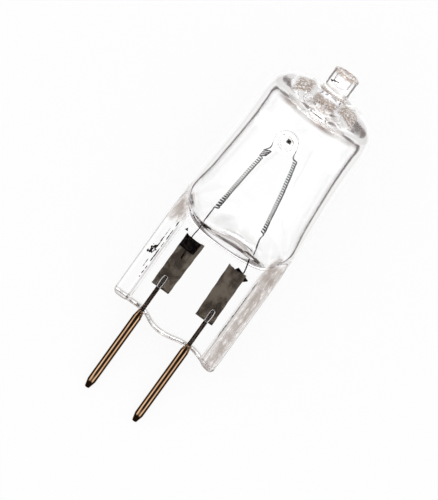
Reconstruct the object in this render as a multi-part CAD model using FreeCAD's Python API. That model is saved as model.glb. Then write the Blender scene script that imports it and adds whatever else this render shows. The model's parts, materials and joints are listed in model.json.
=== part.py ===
"""Halogen capsule bulb with two contact pins, in millimetres.

The lamp is drawn upright first: z runs up the lamp from the pins' tips, x runs across the
two pins and y runs through the thickness of the pinch, away from the viewer. At the end the
whole lamp is laid down on its two pins and its belly, as it comes to rest on a table.
"""
import FreeCAD, Part
import math
import os

V = FreeCAD.Vector

# Contact pins
pin_spacing = 6.35
pin_diameter = 1.0
pin_length = 10.6
pin_tip_diameter = 0.57
pin_tip_taper = 0.9
pin_neck_diameter = 0.66
pin_neck_taper = 0.86
pin_bore_depth = 6.0
pin_standoff = 0.15

# Outer leads, which stand in the pins and are welded to the foils
lead_diameter = 0.5
lead_weld_length = 1.5
lead_weld_flat = 0.06
lead_channel_gap = 0.2
lead_channel_room = 0.12
lead_channel_bevel = 0.27

# Sealing foils, with the glass that covers them below and above
foil_cover_below = 3.1
foil_cover_above = 2.4
foil_thickness = 0.05
foil_length = 6.75
foil_left_shift = 0.195
foil_right_shift = 0.315
foil_top_width = 2.38
foil_bottom_width = 2.2
foil_lean = 0.09
foil_torn_dip = 0.16

# Plates that clamp the filament's tails to the foils
tab_width = 1.95
tab_height = 1.42
tab_thickness = 0.1
tab_left_shift = 0.14
tab_left_drop = 0.78
tab_left_turn = 1.5
tab_right_shift = 0.34
tab_right_drop = 0.5
tab_right_turn = -21.0

# Pinch, pressed flat with a rib along each side
pinch_width = 14.1
pinch_thickness = 3.8
pinch_bulge = 0.95
pinch_bulge_shift = -0.6
pinch_slope = 0.95
pinch_corner_radius = 0.55
pinch_edge_bevel = 0.35
rib_width = 1.5
rib_slope = 0.25
web_thickness = 2.6

# Bulb
tube_diameter = 13.0
wall = 1.0
shoulder_height = 8.5
shoulder_lap = 1.5
shoulder_steps = 8
shoulder_swell_share = 0.62
shoulder_squeeze_share = 0.26
shoulder_close_share = 0.7
shoulder_bite = 0.2
foot_inset = 0.6
ear_step = 0.06
ear_rise = 1.9
ear_slope = 1.3
cavity_foot_depth = 0.35
cavity_steps = 6

# Closed top and the stub of the exhaust tube
dome_shoulder_radius = 3.5
dome_shoulder_steps = 3
dome_edge_radius = 5.0
dome_edge_rise = 2.95
dome_lip_radius = 2.75
dome_lip_width = 0.5
dome_lip_rise = 3.82
dome_groove_width = 0.3
dome_groove_rise = 3.3
cavity_top_rise = 1.3
cavity_corner = 0.8
stub_diameter = 3.15
stub_length = 3.06
stub_rim_bevel = 0.28
stub_bore_diameter = 1.4
stub_bore_depth = 1.85
stub_bridge = 0.91
channel_diameter = 1.3

# Post across the bulb, made by a dimple from the front and one from the back
post_x = -1.05
post_rise = 3.7
post_to_dome = 3.7
post_waist_radius = 0.84
post_waist_length = 1.6
post_foot_radius = 2.3
dimple_mouth_radius = 1.5
dimple_end_radius = 0.42
dimple_bridge = 1.5
dimple_mouth_room = 0.65

# Filament: one wire, from the left foil up the left coil, over the post and down again
wire_width = 0.12
wire_sides = 3
wire_clearance = 0.02
coil_radius = 0.2
coil_pitch = 0.3
coil_steps = 5
coil_left_foot_rise = 1.65
coil_left_top_reach = 1.46
coil_left_top_drop = 1.8
coil_right_top_reach = 1.81
coil_right_top_drop = 1.0
coil_right_foot_shift = 0.53
coil_right_foot_rise = 2.2
coil_right_bow = 0.11
loop_start = 190.0
loop_end = 25.0
loop_steps = 6
tail_left_end_drop = 1.3
tail_left_bend_room = 0.3
tail_right_end_drop = 1.2
tail_end_width = 0.24
tail_out = 0.26
tail_glass_share = 0.67

# Worked out from the sizes above
pin_x = pin_spacing / 2
lead_radius = lead_diameter / 2
lead_foot = pin_length - pin_bore_depth
pinch_foot = pin_length + pin_standoff
foil_bottom = pinch_foot + foil_cover_below
foil_top = foil_bottom + foil_length
foil_front = lead_radius - lead_weld_flat
foil_back = foil_front + foil_thickness
lead_top = foil_bottom + lead_weld_length
cavity_foot = foil_top + foil_cover_above
tube_radius = tube_diameter / 2
shoulder_start = cavity_foot + shoulder_height
post_z = shoulder_start + post_rise
dome_start = post_z + post_to_dome
stub_top = dome_start + dome_groove_rise + stub_length
wire_reach = wire_width / math.sqrt(2)


def revolve(points):
    """Solid of revolution about z of a closed outline of (radius, z) points."""
    corners = [V(radius, 0, z) for radius, z in points]
    face = Part.Face(Part.makePolygon(corners + corners[:1]))
    return face.revolve(V(0, 0, 0), V(0, 0, 1), 360)


def funnel(rings):
    """Round solid with straight sides between rings of (radius, z)."""
    wires = [Part.Wire(Part.makeCircle(radius, V(0, 0, z))) for radius, z in rings]
    return Part.makeLoft(wires, True, True)


def line(a, b):
    return Part.makeLine(V(a[0], 0, a[1]), V(b[0], 0, b[1]))


def arc(a, b, c):
    return Part.Arc(V(a[0], 0, a[1]), V(b[0], 0, b[1]), V(c[0], 0, c[1])).toShape()


def plate(edges, front, thickness):
    """Flat plate from an outline in the xz plane, from y = front backwards."""
    face = Part.Face(Part.Wire(edges))
    face.translate(V(0, front, 0))
    return face.extrude(V(0, thickness, 0))


def contact_pin(side):
    """Turned pin with a blunt tip and a hollow neck for its lead."""
    body = pin_diameter / 2
    outline = [
        (0, 0),
        (pin_tip_diameter / 2, 0),
        (body, pin_tip_taper),
        (body, pin_length - pin_neck_taper),
        (pin_neck_diameter / 2, pin_length),
        (lead_radius, pin_length),
        (lead_radius, lead_foot),
        (0, lead_foot),
    ]
    pin = revolve(outline)
    pin.translate(V(side * pin_x, 0, 0))
    return pin


def outer_lead(side):
    """Round wire from the bottom of the pin's bore, pressed flat where the foil is welded on."""
    lead = Part.makeCylinder(lead_radius, lead_top - lead_foot, V(0, 0, lead_foot))
    flat = Part.makeBox(lead_diameter, lead_diameter, lead_weld_length)
    flat.translate(V(-lead_radius, foil_front, foil_bottom))
    lead = lead.cut(flat)
    lead.translate(V(side * pin_x, 0, 0))
    return lead


def lead_channel(side):
    """Gap that the glass leaves round the lead, drawn in over the lead's end."""
    radius = lead_radius + lead_channel_gap
    end = lead_top + lead_channel_room
    neck = end - lead_channel_bevel
    drawn_in = radius - lead_channel_bevel
    channel = revolve([(0, 0), (radius, 0), (radius, neck), (drawn_in, end), (0, end)])
    channel.translate(V(side * pin_x, 0, 0))
    return channel


def foil_middle(side):
    """Where a foil's bottom edge has its middle: a little inwards of its pin."""
    shift = foil_left_shift if side < 0 else foil_right_shift
    return side * (pin_x - shift)


def foil(side):
    """Sealing foil, a little wider at the top, where it was torn off in a hollow curve."""
    middle = foil_middle(side)
    top_middle = middle - side * foil_lean
    bottom_left = (middle - foil_bottom_width / 2, foil_bottom)
    bottom_right = (middle + foil_bottom_width / 2, foil_bottom)
    top_left = (top_middle - foil_top_width / 2, foil_top)
    top_right = (top_middle + foil_top_width / 2, foil_top)
    edges = [
        line(bottom_left, bottom_right),
        line(bottom_right, top_right),
        arc(top_right, (top_middle, foil_top - foil_torn_dip), top_left),
        line(top_left, bottom_left),
    ]
    return plate(edges, foil_front, foil_thickness)


def tab_centre(side):
    """Middle of a weld tab, as (x, z): outwards of its foil's middle and under its top."""
    if side < 0:
        return foil_middle(side) - tab_left_shift, foil_top - tab_left_drop
    return foil_middle(side) + tab_right_shift, foil_top - tab_right_drop


def weld_tab(side):
    """Small plate over the filament's tail, in front of the left foil and behind the right one."""
    x, z = tab_centre(side)
    turn = tab_left_turn if side < 0 else tab_right_turn
    front = foil_front - 2 * wire_reach - tab_thickness if side < 0 else foil_back + 2 * wire_reach
    tab = Part.makeBox(tab_width, tab_thickness, tab_height)
    tab.translate(V(-tab_width / 2, front, -tab_height / 2))
    tab.rotate(V(0, 0, 0), V(0, 1, 0), -turn)
    tab.translate(V(x, 0, z))
    return tab


def coil_points(start, end, bow, turns, phase):
    """Points of a coil wound along a slightly bowed line from start to end."""
    along = (end - start).normalize()
    across = V(0, 1, 0).cross(along)
    steps = round(turns * coil_steps)
    points = []
    for step in range(steps + 1):
        share = step / steps
        angle = phase + 2 * math.pi * step / coil_steps
        centre = start + (end - start) * share + across * (bow * math.sin(math.pi * share))
        outwards = across * math.cos(angle) + V(0, math.sin(angle), 0)
        points.append(centre + outwards * coil_radius)
    return points


def left_coil_points():
    """Left coil from its foot above the left tab to its top beside the post."""
    start = V(tab_centre(-1)[0], 0, cavity_foot + coil_left_foot_rise)
    end = V(post_x - coil_left_top_reach, 0, post_z - coil_left_top_drop)
    turns = round((end - start).Length / coil_pitch)
    return coil_points(start, end, 0, turns, math.pi)


def right_coil_points():
    """Right coil from its top beside the post to its foot, bowed a little outwards."""
    start = V(post_x + coil_right_top_reach, 0, post_z - coil_right_top_drop)
    end = V(tab_centre(1)[0] - coil_right_foot_shift, 0, cavity_foot + coil_right_foot_rise)
    turns = round((end - start).Length / coil_pitch) + 0.4
    return coil_points(start, end, -coil_right_bow, turns, 0)


def loop_points():
    """Points of the bare wire over the top of the post, from its left side to its right."""
    step = math.radians(loop_end - loop_start) / loop_steps
    radius = (post_waist_radius + wire_reach + wire_clearance) / math.cos(step / 2)
    points = []
    for i in range(loop_steps + 1):
        angle = math.radians(loop_start) + step * i
        points.append(V(post_x + radius * math.cos(angle), 0, post_z + radius * math.sin(angle)))
    return points


def left_tail_points():
    """Left tail: up over its foil, under the tab, through the glass and out into the bulb."""
    x, z = tab_centre(-1)
    half = tab_height / 2
    rise = coil_left_foot_rise / 3
    return [
        V(x, foil_front - tail_end_width / 2, z - half - tail_left_end_drop),
        V(x, foil_front - tail_end_width / 2, z - half - tail_left_bend_room),
        V(x, foil_front - wire_reach, z - half),
        V(x - tail_out, foil_front - wire_reach, foil_top),
        V(x - tail_out, foil_front / 2, foil_top + foil_cover_above * tail_glass_share),
        V(x - tail_out, 0, cavity_foot + rise),
        V(x - tail_out / 2, 0, cavity_foot + 2 * rise),
    ]


def right_tail_points():
    """Right tail: down into the glass and behind the foil to the tab."""
    x, z = tab_centre(1)
    depth = foil_back + wire_reach
    rise = coil_right_foot_rise / 3
    return [
        V(x - coil_right_foot_shift, 0, cavity_foot + 2 * rise),
        V(x, 0, cavity_foot + rise / 2),
        V(x, depth / 2, foil_top + foil_cover_above * tail_glass_share),
        V(x + tail_out, depth, foil_top),
        V(x, depth, z - tail_right_end_drop / 2),
    ]


def filament_path():
    """Middle line of the whole wire, and its width at each point."""
    tail = left_tail_points()
    points = tail + left_coil_points() + loop_points() + right_coil_points() + right_tail_points()
    widths = [tail_end_width] * 2 + [wire_width] * (len(points) - 2)
    return points, widths


def wire_sections():
    """Plain sections along the wire, carried round each bend without twisting."""
    points, widths = filament_path()
    sections = []
    side = V(0, 1, 0)
    last = len(points) - 1
    for i, point in enumerate(points):
        ahead = points[min(i + 1, last)] - points[min(i, last - 1)]
        behind = points[max(i, 1)] - points[max(i - 1, 0)]
        course = (ahead.normalize() + behind.normalize()).normalize()
        side = (side - course * side.dot(course)).normalize()
        other = course.cross(side)
        reach = widths[i] / math.sqrt(2)
        corners = []
        for k in range(wire_sides):
            angle = 2 * math.pi * (k + 0.5) / wire_sides
            corners.append(point + (side * math.cos(angle) + other * math.sin(angle)) * reach)
        sections.append(Part.makePolygon(corners + corners[:1]))
    return sections


def filament():
    return Part.makeLoft(wire_sections(), True, True)


def sealed_tails():
    """The two stretches of the filament that run in the glass, to press their places in it."""
    sections = wire_sections()
    left = sections[:len(left_tail_points())]
    right = sections[-len(right_tail_points()):]
    return [Part.makeLoft(left, True, True), Part.makeLoft(right, True, True)]


def oval(z, half_width, half_depth):
    """Elliptical section, which starts on the x side whichever way it is longer."""
    if half_width >= half_depth:
        return Part.Wire(Part.Ellipse(V(0, 0, z), half_width, half_depth).toShape())
    deep = Part.Ellipse(V(0, half_depth, z), V(-half_width, 0, z), V(0, 0, z))
    return Part.Wire(deep.toShape(-math.pi / 2, 3 * math.pi / 2))


def shoulder(steps, foot, radius, side, foot_depth):
    """Loft from the round tube down to a flat oval, in even steps."""
    wires = []
    for step in range(steps + 1):
        share = step / steps
        swell = math.sin(math.pi / 2 * min(1, share / shoulder_swell_share))
        close = max(0, (share - shoulder_close_share) / (1 - shoulder_close_share)) ** 2
        squeeze = max(0, (share - shoulder_squeeze_share) / (1 - shoulder_squeeze_share))
        half_width = radius + (side - radius) * swell - foot_inset * close
        half_depth = foot_depth + (radius - foot_depth) * math.cos(math.pi / 2 * squeeze)
        wires.append(oval(shoulder_start + (foot - shoulder_start) * share, half_width, half_depth))
    return Part.makeLoft(wires, True, True)


def bulb_outside():
    """Round tube that widens a little downwards and is then squeezed flat into the pinch."""
    tube = Part.makeCylinder(tube_radius, dome_start - shoulder_start, V(0, 0, shoulder_start))
    side = pinch_width / 2 - ear_step
    foot_depth = web_thickness / 2 - shoulder_bite
    return tube.fuse(shoulder(shoulder_steps, cavity_foot - shoulder_lap, tube_radius, side, foot_depth))


def bulb_inside():
    """Room inside the tube, which ends in a blunt wedge above the pinch."""
    inner = tube_radius - wall
    tube = Part.makeCylinder(inner, dome_start - shoulder_start, V(0, 0, shoulder_start))
    side = pinch_width / 2 - wall
    return tube.fuse(shoulder(cavity_steps, cavity_foot, inner, side, cavity_foot_depth))


def rounded(start, end, radius, steps):
    """Points on an arc of the given radius that bulges outwards between two (radius, z) points."""
    chord = math.dist(start, end)
    along = ((end[0] - start[0]) / chord, (end[1] - start[1]) / chord)
    half = math.asin(chord / 2 / radius)
    points = []
    for step in range(steps + 1):
        angle = half * (2 * step / steps - 1)
        run = chord / 2 + radius * math.sin(angle)
        rise = radius * (math.cos(angle) - math.cos(half))
        radius_here = start[0] + along[0] * run + along[1] * rise
        height_here = start[1] + along[1] * run - along[0] * rise
        points.append((radius_here, height_here))
    return points


def dome_and_stub():
    """Closed top with a raised lip and a groove round the stub of the exhaust tube."""
    edge = (dome_edge_radius, dome_start + dome_edge_rise)
    lip = dome_start + dome_lip_rise
    groove = dome_start + dome_groove_rise
    radius = stub_diameter / 2
    rings = rounded((tube_radius, dome_start), edge, dome_shoulder_radius, dome_shoulder_steps)
    outline = [(0, dome_start)] + rings + [
        (dome_lip_radius + dome_lip_width / 2, lip),
        (dome_lip_radius - dome_lip_width / 2, lip),
        (radius + dome_groove_width, groove),
        (radius, groove),
        (radius, stub_top - stub_rim_bevel),
        (radius - stub_rim_bevel, stub_top),
        (0, stub_top),
    ]
    return revolve(outline)


def dome_inside():
    """Top of the room inside, with the short channel that leads up towards the stub."""
    inner = tube_radius - wall
    top = dome_start + cavity_top_rise
    room = funnel([(inner, dome_start), (inner, top - cavity_corner), (inner - cavity_corner, top)])
    channel_length = stub_top - stub_bore_depth - stub_bridge - dome_start
    return room.fuse(Part.makeCylinder(channel_diameter / 2, channel_length, V(0, 0, dome_start)))


def stub_bore():
    """Blind end of the exhaust tube's bore."""
    return Part.makeCylinder(stub_bore_diameter / 2, stub_bore_depth, V(0, 0, stub_top - stub_bore_depth))


def across_the_bulb(solid):
    """Turns a solid drawn about z to lie along y at the post's place."""
    solid.rotate(V(0, 0, 0), V(1, 0, 0), 90)
    solid.translate(V(post_x, 0, post_z))
    return solid


def post():
    """Waisted post of glass from the front wall to the back wall."""
    reach = tube_radius - wall / 2
    waist = post_waist_length / 2
    rings = [
        (post_foot_radius, -reach),
        (post_waist_radius, -waist),
        (post_waist_radius, waist),
        (post_foot_radius, reach),
    ]
    return across_the_bulb(funnel(rings))


def dimple(side):
    """Funnel that the tool pressed into the outside, from the front or from the back."""
    end = side * dimple_bridge / 2
    mouth = side * (tube_radius + dimple_mouth_room)
    return across_the_bulb(funnel([(dimple_end_radius, end), (dimple_mouth_radius, mouth)]))


def pinch():
    """Flat pressed seal with a rib along each side and an uneven lower edge."""
    half = pinch_width / 2
    ear_foot = cavity_foot + ear_rise
    top = ear_foot + ear_slope
    shelf = half - ear_slope / 2
    low = pinch_foot - pinch_slope
    inner = pin_x - pin_diameter
    outer = pin_x + pin_diameter
    edges = [
        line((-half, ear_foot), (-half, pinch_foot)),
        line((-half, pinch_foot), (-inner, pinch_foot)),
        arc((-inner, pinch_foot), (pinch_bulge_shift, pinch_foot - pinch_bulge), (inner, pinch_foot)),
        line((inner, pinch_foot), (outer, pinch_foot)),
        line((outer, pinch_foot), (half, low)),
        line((half, low), (half, ear_foot)),
        line((half, ear_foot), (shelf, top)),
        line((shelf, top), (-shelf, top)),
        line((-shelf, top), (-half, ear_foot)),
    ]
    body = plate(edges, -pinch_thickness / 2, pinch_thickness)
    body = body.makeFillet(pinch_corner_radius, [e for e in body.Edges if is_lower_corner(e)])
    body = body.makeChamfer(pinch_edge_bevel, [e for e in body.Edges if is_long_side(e)])
    return body.cut(Part.makeCompound([recess(-1), recess(1)]))


def is_at_side(edge):
    """Whether an edge's middle lies on one of the pinch's two narrow sides."""
    return math.isclose(abs(edge.CenterOfMass.x), pinch_width / 2, rel_tol=0.001)


def is_lower_corner(edge):
    """Whether an edge runs through the thickness at one of the pinch's two lower corners."""
    through = edge.BoundBox.YLength > pinch_thickness / 2
    return through and is_at_side(edge) and edge.CenterOfMass.z < foil_bottom


def is_long_side(edge):
    """Whether an edge runs up one of the pinch's four long outer edges."""
    return edge.BoundBox.ZLength > foil_length and is_at_side(edge)


def recess(side):
    """Room that the jaws pressed in between the ribs, on the front or on the back."""
    web = side * web_thickness / 2
    face = side * pinch_thickness / 2
    bottom = pinch_width / 2 - rib_width - rib_slope
    slope = rib_slope * pinch_thickness / (pinch_thickness - web_thickness)
    corners = [
        V(-bottom, web, 0),
        V(bottom, web, 0),
        V(bottom + slope, face + (face - web) * (slope / rib_slope - 1), 0),
        V(-bottom - slope, face + (face - web) * (slope / rib_slope - 1), 0),
    ]
    profile = Part.Face(Part.makePolygon(corners + corners[:1]))
    return profile.extrude(V(0, 0, shoulder_start))


def envelope(inserts):
    """Fused quartz in one piece: tube, pinch, closed top and stub."""
    outside = bulb_outside().fuse([dome_and_stub(), pinch()])
    outside = outside.cut(Part.makeCompound([dimple(-1), dimple(1), stub_bore()]))
    inside = bulb_inside().fuse(dome_inside()).cut(post())
    glass = outside.cut(inside)
    glass = glass.cut(Part.makeCompound([lead_channel(-1), lead_channel(1)]))
    for insert in inserts:
        glass = glass.cut(insert)
    return glass.removeSplitter()


def lowest(shape):
    return shape.optimalBoundingBox(False, False).ZMin


def laid(shape, tilt):
    """Turns an upright shape to lie along x, with its top end raised by the tilt in degrees."""
    turned = shape.copy()
    turned.rotate(V(0, 0, 0), V(0, 0, 1), -90)
    turned.rotate(V(0, 0, 0), V(0, 1, 0), 90 - tilt)
    return turned


def resting_tilt(glass, pin):
    """Angle at which the pins and the belly of the bulb touch the table together."""
    low, high = (2.0, 40.0)
    while high - low > 0.0005:
        tilt = (low + high) / 2
        if lowest(laid(glass, tilt)) < lowest(laid(pin, tilt)):
            low = tilt
        else:
            high = tilt
    return (low + high) / 2


def build():
    """All pieces by name, laid down and set on the table with the box's middle at the origin."""
    pieces = {}
    for name, side in (("left", -1), ("right", 1)):
        pieces["pin_" + name] = contact_pin(side)
        pieces["outer_lead_" + name] = outer_lead(side)
        pieces["foil_" + name] = foil(side)
        pieces["weld_tab_" + name] = weld_tab(side)
    sealed = [pieces[kind + name] for kind in ("foil_", "weld_tab_") for name in ("left", "right")]
    pieces["envelope"] = envelope(sealed + sealed_tails())
    pieces["filament"] = filament()
    tilt = resting_tilt(pieces["envelope"], pieces["pin_left"])
    print("resting tilt", round(tilt, 3))
    laid_pieces = {name: laid(shape, tilt) for name, shape in pieces.items()}
    box = Part.makeCompound(list(laid_pieces.values())).optimalBoundingBox(False, False)
    shift = V(-(box.XMin + box.XMax) / 2, 0, -box.ZMin)
    for shape in laid_pieces.values():
        shape.translate(shift)
    return laid_pieces


def main():
    os.makedirs("parts", exist_ok=True)
    for name, shape in build().items():
        shape.exportStep("parts/" + name + ".step")
        print(name, shape.ShapeType, len(shape.Solids), shape.isValid(), round(shape.Volume, 4))


main()
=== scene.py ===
"""Looks of a halogen capsule bulb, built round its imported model.

The pieces are drawn with the lamp upright, in millimetres: x runs across the two contact pins,
y runs away from the viewer and z runs up from the pins' tips. LampPlace carries them into the
model's own frame, in metres, where the lamp lies on its pins and its belly.
"""

import json
import logging
import math
import random
from dataclasses import dataclass
from enum import Enum
from typing import Callable, Optional, Sequence

import bmesh
import bpy
from mathutils import Matrix, Vector


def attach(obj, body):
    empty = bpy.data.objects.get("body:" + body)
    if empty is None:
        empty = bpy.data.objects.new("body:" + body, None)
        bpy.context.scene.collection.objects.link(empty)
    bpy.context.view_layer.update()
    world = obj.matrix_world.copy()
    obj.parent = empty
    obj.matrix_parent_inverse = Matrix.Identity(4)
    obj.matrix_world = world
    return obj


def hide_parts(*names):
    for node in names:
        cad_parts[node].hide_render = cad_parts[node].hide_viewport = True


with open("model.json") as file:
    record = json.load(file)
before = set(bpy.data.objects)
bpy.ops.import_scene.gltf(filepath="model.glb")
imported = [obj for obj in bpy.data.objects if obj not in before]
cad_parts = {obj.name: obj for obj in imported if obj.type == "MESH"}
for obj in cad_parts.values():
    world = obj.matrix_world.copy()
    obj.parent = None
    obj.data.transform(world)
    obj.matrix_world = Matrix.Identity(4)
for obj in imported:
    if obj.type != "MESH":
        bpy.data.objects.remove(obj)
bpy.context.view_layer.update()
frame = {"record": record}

MM = 0.001
TAU = 2 * math.pi
log = logging.getLogger("halogen_capsule")

Point = tuple[float, float, float]
Socket = bpy.types.NodeSocket
Vert = bmesh.types.BMVert
Mesh = bmesh.types.BMesh
WHITE = (1.0, 1.0, 1.0, 1.0)


class Side(Enum):
    """Side of the lamp, as seen by the viewer, with the sign of its x."""

    LEFT = -1
    RIGHT = 1

    @property
    def label(self) -> str:
        """Name that the side adds to a piece's name."""
        return self.name.lower()


def smooth_step(value: float, low: float, high: float) -> float:
    """Eases from 0 at low to 1 at high.

    Args:
        value: Where to read the curve.
        low: Value at which the curve leaves 0.
        high: Value at which the curve reaches 1.

    Returns:
        A share from 0 to 1.
    """
    share = min(1.0, max(0.0, (value - low) / (high - low)))
    return share * share * (3 - 2 * share)


def soft_max(a: float, b: float, blend: float) -> float:
    """Larger of two values, with the corner between them rounded over the blend's width."""
    gap = max(blend - abs(a - b), 0.0) / blend
    return max(a, b) + gap * gap * blend / 4


def along_curve(value: float, knots: Sequence[tuple[float, float]]) -> float:
    """Reads a piecewise smooth curve.

    Args:
        value: Where to read the curve.
        knots: Pairs of position and height, in rising order of position.

    Returns:
        The curve's height at value, held level outside the knots.
    """
    if value <= knots[0][0]:
        return knots[0][1]
    for (low, start), (high, end) in zip(knots, knots[1:]):
        if value <= high:
            return start + (end - start) * smooth_step(value, low, high)
    return knots[-1][1]


@dataclass(frozen=True)
class LampPlace:
    """Place of the upright lamp in the model's frame."""

    origin: Vector
    axis: Vector

    @classmethod
    def from_record(cls, record: dict, tip_taper: float) -> "LampPlace":
        """Reads the place from the two pin mounts.

        Args:
            record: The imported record.
            tip_taper: Length of a pin's tapered tip, in millimetres.

        Returns:
            The lamp's place.
        """
        pins = [mount for mount in record["mounts"] if mount["kind"] == "pin"]
        middle = sum((Vector(pin["pos_m"]) for pin in pins), Vector()) / len(pins)
        axis = -Vector(pins[0]["axis"]).normalized()
        rise = tip_taper + pins[0]["dims"]["length_mm"] / 2
        return cls(middle - axis * rise * MM, axis)

    def matrix(self) -> Matrix:
        """Matrix from upright millimetres to the model's metres.

        Returns:
            The matrix.
        """
        across = Vector((0, -1, 0))
        away = self.axis.cross(across)
        turn = Matrix((across, away, self.axis)).transposed().to_4x4()
        return Matrix.Translation(self.origin) @ turn @ Matrix.Scale(MM, 4)


class Skin:
    """Tube of quads that grows ring by ring, for shapes whose section changes along z."""

    def __init__(self, ring: Sequence[Point]) -> None:
        """Starts from one closed ring.

        Args:
            ring: Places of the ring's corners, in order.
        """
        self.bm = bmesh.new()
        # Amount of painted dark edge shade at each corner, read by the quartz material.
        self.worked = self.bm.verts.layers.float.new("worked")
        made = bmesh.ops.create_circle(self.bm, segments=len(ring), radius=1.0)
        self.rings = [self._in_order(made["verts"])]
        self._place(self.rings[0], ring)

    @staticmethod
    def _in_order(verts: Sequence[Vert]) -> list[Vert]:
        """Corners of a closed loop, each next to the one before.

        Args:
            verts: The corners.

        Returns:
            The corners, in order.
        """
        ordered = [verts[0]]
        while len(ordered) < len(verts):
            near = [edge.other_vert(ordered[-1]) for edge in ordered[-1].link_edges]
            ordered.append(next(vert for vert in near if vert not in ordered[-2:]))
        return ordered

    @staticmethod
    def _place(verts: Sequence[Vert], places: Sequence[Point]) -> None:
        """Moves each corner to its place."""
        for vert, place in zip(verts, places):
            vert.co = place

    def extrude(self, ring: Sequence[Vert], places: Sequence[Point]) -> list[Vert]:
        """Grows a closed edge loop by one band.

        Args:
            ring: The loop's corners, in order.
            places: Where the new corners go.

        Returns:
            The new loop's corners, in the same order.
        """
        edges = [self.bm.edges.get((a, b)) for a, b in zip(ring, ring[1:] + ring[:1])]
        made = bmesh.ops.extrude_edge_only(self.bm, edges=edges)
        fresh = {item for item in made["geom"] if isinstance(item, Vert)}
        grown = [next(e.other_vert(v) for e in v.link_edges if e.other_vert(v) in fresh) for v in ring]
        self._place(grown, places)
        return grown

    def grow(self, places: Sequence[Point]) -> None:
        """Adds one ring at the open end."""
        self.rings.append(self.extrude(self.rings[-1], places))

    def close(self, ring: Sequence[Vert]) -> None:
        """Draws a loop's corners together into a pole."""
        centre = sum((vert.co for vert in ring), Vector()) / len(ring)
        bmesh.ops.pointmerge(self.bm, verts=list(ring), merge_co=centre)

    def open_round_hole(self, rows: range, columns: range, centre: tuple[float, float], radius: float,
                        surface: Callable[[float, float], float]) -> list[Vert]:
        """Takes a block of quads out and makes its edge round.

        Args:
            rows: Numbers of the rings in the block, from its lower to its upper edge.
            columns: Numbers of the corners in each ring, from one side to the other.
            centre: The hole's middle, as x and z.
            radius: The hole's radius.
            surface: Depth y of the surface at an x and z.

        Returns:
            The hole's corners, in order.
        """
        count = len(self.rings[0])
        grid = [[self.rings[row][column % count] for column in columns] for row in rows]
        inside = {vert for line in grid[1:-1] for vert in line[1:-1]}
        bmesh.ops.delete(self.bm, geom=list(inside), context="VERTS")
        right = [line[-1] for line in grid[1:-1]]
        left = [line[0] for line in grid[1:-1]]
        edge = grid[0] + right + grid[-1][::-1] + left[::-1]
        first = edge[0].co
        start = math.atan2(first.z - centre[1], first.x - centre[0])
        second = edge[1].co
        turn = math.copysign(TAU / len(edge), (first.x - centre[0]) * (second.z - centre[1])
                             - (first.z - centre[1]) * (second.x - centre[0]))
        for number, vert in enumerate(edge):
            x = centre[0] + radius * math.cos(start + turn * number)
            z = centre[1] + radius * math.sin(start + turn * number)
            vert.co = (x, surface(x, z), z)
        return edge

    def mark(self, verts: Sequence[Vert], amount: float) -> None:
        """Notes how strongly some corners get painted dark edge shade."""
        for vert in verts:
            vert[self.worked] = amount

    def finish(self, inside_out: bool = False) -> Mesh:
        """Merges doubles and turns the faces outwards, or inwards for a hollow in a solid.

        Args:
            inside_out: Whether the faces turn inwards.

        Returns:
            The mesh.
        """
        bmesh.ops.remove_doubles(self.bm, verts=self.bm.verts, dist=1e-4)
        bmesh.ops.recalc_face_normals(self.bm, faces=self.bm.faces)
        if inside_out:
            bmesh.ops.reverse_faces(self.bm, faces=self.bm.faces)
        return self.bm


def merged(parts: Sequence[Mesh]) -> Mesh:
    """Puts several meshes into the first one.

    Args:
        parts: The meshes; all but the first are freed.

    Returns:
        The first mesh, with the others in it.
    """
    whole = parts[0]
    for part in parts[1:]:
        carrier = bpy.data.meshes.new("carrier")
        part.to_mesh(carrier)
        part.free()
        whole.from_mesh(carrier)
        bpy.data.meshes.remove(carrier)
    return whole


@dataclass
class Piece:
    """One finished piece of the lamp and how it takes part in the model."""

    name: str
    mesh: Mesh
    material: bpy.types.Material
    slot: str
    node: Optional[str] = None
    subdivisions: int = 0

    def add(self, place: LampPlace) -> bpy.types.Object:
        """Makes the object in the model's frame.

        Args:
            place: Where the upright lamp lies.

        Returns:
            The new object.
        """
        bmesh.ops.transform(self.mesh, matrix=place.matrix(), verts=self.mesh.verts)
        for face in self.mesh.faces:
            face.smooth = True
        data = bpy.data.meshes.new(self.name)
        self.mesh.to_mesh(data)
        self.mesh.free()
        data.materials.append(self.material)
        piece = bpy.data.objects.new(self.name, data)
        bpy.context.scene.collection.objects.link(piece)
        if self.subdivisions:
            smooth = piece.modifiers.new("smooth", "SUBSURF")
            smooth.levels = self.subdivisions
            smooth.render_levels = self.subdivisions
        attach(piece, "root")
        if self.node:
            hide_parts(self.node)
        log.info("%s: %d faces in the cage", self.name, len(data.polygons))
        return piece


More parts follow.
